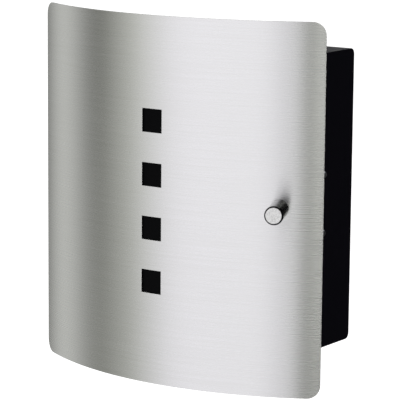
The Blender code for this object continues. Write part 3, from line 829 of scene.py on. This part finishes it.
def curl():
    """A knuckle's plan: the sheet leaves the leaf and curls round the pin, with a small gap."""
    radius = HINGE_BARREL - LEAF_SHEET / 2
    gap = LEAF_SHEET / radius * KNUCKLE_GAP
    path = [Vector((radius, HINGE_BARREL + FIT))]
    for a in even(0, -(2 * math.pi - gap), 40):
        path.append(Vector((radius * math.cos(a), radius * math.sin(a))))
    return strip(path, LEAF_SHEET)


def weld_spots(bm, places):
    """Shallow round marks left by a spot welder, on the leaf's inner face."""
    profile = [(-0.00012, 0.0017), (0.00004, 0.0016), (0.00010, 0.0013), (0.00004, 0.0010),
               (0.00001, 0.0002)]
    for y, z in places:
        join(bm, move(turned(profile, 24), (HINGE_BARREL - LEAF_SHEET, y, z), (0, -math.pi / 2, 0)))


def leaf_plate(height):
    """The flat of a leaf, with round corners at its free end."""
    low, high = HINGE_BARREL + FIT, LEAF_LENGTH
    half = height / 2
    end = [(high - LEAF_ROUND + LEAF_ROUND * math.cos(a), half - LEAF_ROUND + LEAF_ROUND * math.sin(a))
           for a in reversed(quarter(0, 6))]
    outline = [(low, half)] + end + [(y, -z) for y, z in reversed(end)] + [(low, -half)]
    return prism(outline, HINGE_BARREL - LEAF_SHEET, HINGE_BARREL, "X")


def hinge_leaf(node, height, knuckles, turn, spots):
    """A leaf with its knuckles, turned about the hinge's axis."""
    low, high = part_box(node)
    middle = (low.z + high.z) / 2
    bm = leaf_plate(height)
    for start, end in knuckles:
        join(bm, prism(curl(), start, end))
    weld_spots(bm, spots)
    move(bm, (HINGE_X, HINGE_Y, middle), (0, 0, turn))
    return add_piece(node + "_rolled", bm, node, rounding=LEAF_EDGE)


def hinges():
    low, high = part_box("hinge_cabinet_leaf_upper")
    height = high.z - low.z
    half, split = height / 2, KNUCKLE_HALF + FIT
    reach = DOOR_RADIUS - DOOR_SHEET - FIT - HINGE_BARREL
    lean = math.asin(-HINGE_X / reach) - LEAF_LENGTH / 2 / DOOR_RADIUS
    spots = [(SPOT_REACH, rise) for rise in (-SPOT_PITCH, 0, SPOT_PITCH)]
    outer, inner = ((-half, -split), (split, half)), ((-KNUCKLE_HALF, KNUCKLE_HALF),)
    for label in ("upper", "lower"):
        leaf = hinge_leaf("hinge_cabinet_leaf_" + label, height, outer, 0, ())
        cut(leaf, drills(RIVET_RADIUS + FIT, LEAF_DRILL, middles("hinge_rivet_"), ALONG_X))
        hinge_leaf("hinge_door_leaf_" + label, height, inner, -math.pi / 2 - lean, spots)


def hinge_pins():
    for label in ("upper", "lower"):
        node = "hinge_pin_" + label
        low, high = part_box(node)
        half = (high.z - low.z) / 2
        head, seat = HINGE_PIN + PIN_LIP, half - PIN_CAP - FIT
        cap = [(half - PIN_CAP * (1 - math.sin(a)), 2 * TINY + (head - 2 * TINY) * math.cos(a))
               for a in quarter(0, 6)]
        upper = [(seat, HINGE_PIN), (seat, head)] + cap
        profile = [(-z, r) for z, r in reversed(upper)] + upper
        bm = move(turned(profile), (HINGE_X, HINGE_Y, (low.z + high.z) / 2))
        add_piece(node + "_turned", bm, node)


def hinge_rivets():
    """A low domed head outside, and a flared end inside."""
    for count in range(1, 5):
        node = f"hinge_rivet_{count}"
        low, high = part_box(node)
        length = high.x - low.x
        dome = [(RIVET_DOME * (1 - math.sin(a)), RIVET_HEAD * math.cos(a)) for a in quarter(0, 8)][::-1]
        dome[0] = (0, TINY)
        flare = [(length - 0.0009, RIVET_RADIUS), (length - 0.0009, 0.0022), (length - 0.0004, 0.0021),
                 (length - 0.0001, 0.0017), (length - 0.0003, 0.0011), (length - 0.0007, 0.0008)]
        profile = dome + [(RIVET_DOME, RIVET_RADIUS)] + flare
        bm = move(turned(profile), (low.x, (low.y + high.y) / 2, (low.z + high.z) / 2), ALONG_X)
        add_piece(node + "_domed", bm, node)


# ---------------------------------------------------------------- inside

def thread(start, end, radius):
    """The profile of a screw thread as rings: crests at the radius and roots below it."""
    count = round((end - start) / THREAD_PITCH)
    levels = even(start, end, 2 * count)
    return [(level, radius - THREAD_DEPTH * (k % 2)) for k, level in enumerate(levels)]


def hook_rails():
    """Z-shaped rails with bent corners. The hooks' collars and the nuts cover their holes."""
    for label in ("upper", "lower"):
        node = "hook_rail_" + label
        low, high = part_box(node)
        half = BOX_SHEET / 2
        back, face = high.y - half, low.y + half
        crook = high.z - RAIL_FLANGE
        corners = [Vector(point) for point in ((back, high.z), (back, crook), (face, crook), (face, low.z))]
        bm = prism(strip(rounded(corners, RAIL_BEND), BOX_SHEET), low.x, high.x, "X")
        rail = add_piece(node + "_bent", bm, node, rounding=BENT_EDGE)
        cut(rail, drills(HOOK_WIRE + FIT, RAIL_DRILL, hook_stems(low, high), ALONG_Y))
        studs = [place for place in middles("rail_stud_") if place.z > low.z]
        cut(rail, drills(STUD_RADIUS + FIT, RAIL_DRILL, studs, ALONG_Y))


def hook_stems(low, high):
    """Where the hooks' wires pass through the face of the rail between the corners."""
    corners = [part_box(node) for node in sorted(SLOT_OF) if node.startswith("key_hook_")]
    return [((first.x + last.x) / 2, low.y, first.z + COLLAR) for first, last in corners
            if low.z < first.z < high.z]


def hook_rings(reach, tip, grip, sides=20):
    """Rings of a wire hook along -Y from the rail's middle: collars, stem, bend and round tip."""
    collar = [(0, HOOK_WIRE), (TINY, COLLAR), (COLLAR_LENGTH - 2 * TINY, COLLAR - TINY)]
    straight = [(grip + COLLAR_LENGTH, HOOK_WIRE + TINY)]
    straight += [(grip + y, radius) for y, radius in reversed(collar)]
    straight += [(-grip - y, radius) for y, radius in collar] + [(-grip - COLLAR_LENGTH, HOOK_WIRE)]
    path = [(y, 0, radius, math.pi / 2) for y, radius in straight]
    for a in quarter(0, 12):
        path.append((HOOK_BEND - reach - HOOK_BEND * math.sin(a), HOOK_BEND - HOOK_BEND * math.cos(a),
                     HOOK_WIRE, math.pi / 2 - a))
    for a in quarter(0, 5):
        path.append((-reach, tip - HOOK_WIRE * (1 - math.sin(a)), max(TINY, HOOK_WIRE * math.cos(a)), 0))
    turns = even(0, 2 * math.pi, sides)[:-1]
    rings = []
    for y, z, radius, tilt in path:
        rings.append([(radius * math.cos(a), y + radius * math.sin(a) * math.cos(tilt),
                       z + radius * math.sin(a) * math.sin(tilt)) for a in turns])
    return rings


def key_hooks():
    grip = BOX_SHEET / 2 + FIT
    for node in sorted(node for node in SLOT_OF if node.startswith("key_hook_")):
        low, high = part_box(node)
        middle_y = high.y - grip - COLLAR_LENGTH
        stem_z = low.z + COLLAR
        bm = rings_skin(hook_rings(middle_y - low.y - HOOK_WIRE, high.z - stem_z, grip))
        add_piece(node + "_wire", move(bm, ((low.x + high.x) / 2, middle_y, stem_z)), node)


def nut(bore):
    """A hexagonal nut along +Z: flats, chamfered corners and a threaded-looking bore."""
    turns = even(0, 2 * math.pi, 48)[:-1]
    levels = ((0, 0.94), (NUT_CHAMFER, 1.1), (NUT_HEIGHT - NUT_CHAMFER, 1.1), (NUT_HEIGHT, 0.94))
    rings = []
    for level, cap in levels:
        ring = []
        for a in turns:
            flat = NUT_FLATS / 2 / math.cos(a % (math.pi / 3) - math.pi / 6)
            radius = min(flat, NUT_FLATS / 2 / math.cos(math.pi / 6) * cap)
            ring.append((radius * math.cos(a), radius * math.sin(a), level))
        rings.append(ring)
    for level, radius in reversed(thread(2 * TINY, NUT_HEIGHT - 2 * TINY, bore + THREAD_DEPTH)):
        rings.append([(radius * math.cos(a), radius * math.sin(a), level) for a in turns])
    return rings_skin(rings, closed=True)


def rail_studs():
    """Threaded studs, flush with the back outside, and the nuts on them."""
    for count in range(1, 5):
        node = f"rail_stud_{count}"
        low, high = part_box(node)
        x, z = (low.x + high.x) / 2, (low.z + high.z) / 2
        length = high.y - low.y
        head = (high.x - low.x) / 2
        shank = thread(0.0022, length - 0.0003, STUD_RADIUS)
        profile = [(0, head - 2 * TINY), (TINY, head), (0.0010, head), (0.0011, STUD_RADIUS)] + shank
        profile.append((length, STUD_RADIUS - 4 * TINY))
        add_piece(node + "_threaded", move(turned(profile, 32), (x, high.y, z), ALONG_Y), node)
        node = f"rail_nut_{count}"
        low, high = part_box(node)
        add_piece(node + "_hex", move(nut(STUD_RADIUS + FIT / 2), (x, high.y, z), ALONG_Y), node)


def cut_cross(screw, size, depth, place, turn=(0, 0, 0), seat=None):
    """Cuts a cross recess that narrows inwards. It opens towards +Z at the place, turned from it."""
    for angle in (0, math.pi / 2):
        arm = rings_skin([[(x * size * scale, y * size * CROSS_ARM * scale, z) for x, y in SQUARE]
                          for z, scale in ((-depth, CROSS_FLOOR), (0.0005, 1.1))])
        move(move(arm, turn=(0, 0, angle)), place, turn)
        cut(screw, seat(arm) if seat else arm)


def pan_screw(length, head_radius, head_height, shank):
    """A pan-head screw along -Z: its head stands above z = 0 and its shank below it."""
    dome = [(head_height * math.sin(a), head_radius * (0.55 + 0.45 * math.cos(a)))
            for a in quarter(0, 8)]
    dome.append((head_height, TINY))
    body = thread(-length + 0.0006, -0.0006, shank)
    return turned([(-length, shank * 0.35)] + body + [(0, shank)] + dome, 40)


def catch_screws():
    for label in ("upper", "lower"):
        node = "catch_screw_" + label
        low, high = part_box(node)
        y, z = (low.y + high.y) / 2, (low.z + high.z) / 2
        seat = high.x - CATCH_HEAD
        bm = pan_screw(seat - low.x, CATCH_DOME_RADIUS, CATCH_DOME, CATCH_SCREW)
        screw = add_piece(node + "_pan", move(bm, (seat, y, z), ALONG_X), node)
        cut_cross(screw, 0.0013, 0.0007, (seat + CATCH_DOME, y, z), ALONG_X)


def strike_depth():
    """The depth behind the door's face of the middle of the strike plate's flange."""
    bow = (STRIKE_FLANGE - STRIKE_SIDE) ** 2 / (2 * DOOR_RADIUS)
    return DOOR_SHEET + FIT + bow + STRIKE_SHEET / 2


def strike_plate():
    """A bent plate: a flange on the door, a leg back, and a face for the magnet."""
    low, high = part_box("strike_plate")
    angle = KNOB_ARC / DOOR_RADIUS
    along = Vector((math.cos(angle), math.sin(angle)))
    fold = on_door(KNOB_ARC, strike_depth()).to_2d() + along * STRIKE_SIDE
    back = high.y - STRIKE_SHEET / 2
    corners = [fold - along * STRIKE_FLANGE, fold, Vector((fold.x, back)), Vector((high.x, back))]
    bm = prism(strip(rounded(corners, STRIKE_BEND), STRIKE_SHEET), low.z, high.z)
    plate = add_piece("strike_plate_bent", bm, "strike_plate", rounding=BENT_EDGE)
    cut(plate, knob_frame(drills(KNOB_SCREW + FIT, DOOR_DRILL, ((0, 0, 0),)), strike_depth()))


def knob_fixing():
    """The washer and the cross-head screw behind the knob."""
    washer_depth = strike_depth() + STRIKE_SHEET / 2 + FIT + WASHER_SHEET
    bore, edge = KNOB_SCREW + FIT, 0.00015
    ring = [(0, bore), (0, WASHER_RADIUS - edge), (edge, WASHER_RADIUS),
            (WASHER_SHEET - edge, WASHER_RADIUS), (WASHER_SHEET, WASHER_RADIUS - edge),
            (WASHER_SHEET, bore)]
    add_piece("knob_washer_stamped", knob_frame(turned(ring, 48, closed=True), washer_depth), "knob_washer")
    head_depth = washer_depth + FIT
    over = (math.pi, 0, 0)
    head_radius, head_height = KNOB_SCREW_HEAD
    bm = move(pan_screw(head_depth + SCREW_DEPTH, head_radius, head_height, KNOB_SCREW), turn=over)
    screw = add_piece("knob_screw_pan", knob_frame(bm, head_depth), "knob_screw")
    cut_cross(screw, 0.0019, 0.0013, (0, 0, -head_height), over, lambda arm: knob_frame(arm, head_depth))


def catch():
    """The magnetic catch: a moulded housing, and in its pocket a magnet between two pole plates."""
    low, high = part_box("catch_housing")
    middle = (low + high) / 2
    half_wide, deep, half_tall = POCKET
    housing = add_piece("catch_housing_moulded", bar(low, high), "catch_housing",
                        rounding=HOUSING_ROUND, segments=4)
    reach = Vector((half_wide, deep, half_tall))
    mouth = Vector((middle.x, low.y, middle.z))
    cut(housing, bar(mouth - reach, mouth + reach))
    screws = [Vector((high.x, place.y, place.z)) for place in middles("catch_screw_")]
    cut(housing, drills(CATCH_SCREW + FIT, high.x - low.x - HOUSING_WALL, screws, ALONG_X))
    for node in ("catch_magnet", "catch_pole_left", "catch_pole_right"):
        add_piece(node + "_bar", bar(*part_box(node)), node, rounding=BENT_EDGE)


# ---------------------------------------------------------------- the whole

def make_materials():
    return {"brushed_stainless": brushed_stainless(), "black_powder_coat": black_powder_coat(),
            "zinc_plated_steel": zinc_plated(), "dark_chrome": chrome(), "black_pane": black_pane(),
            "black_plastic": black_plastic(), "ferrite": ferrite()}


def dress_cad():
    """Each CAD piece that stays shown gets its slot's material."""
    for node, slot in SLOT_OF.items():
        piece = bpy.data.objects[node]
        piece.data.materials.clear()
        piece.data.materials.append(MATERIALS[slot])


MATERIALS = make_materials()
SATIN = satin_steel()
# partly painted highlight for the door's edges
SHEARED_HIGHLIGHT = sheared_edge_highlight()
# painted shade for the knob's rounded end
PAINTED_SHADE_RING = painted_shade_ring()
studio()
dress_cad()
door_sheet()
window_backing()
knob()
box_wrap()
box_sides()
hinges()
hinge_pins()
hinge_rivets()
hook_rails()
key_hooks()
rail_studs()
strike_plate()
knob_fixing()
catch()
catch_screws()
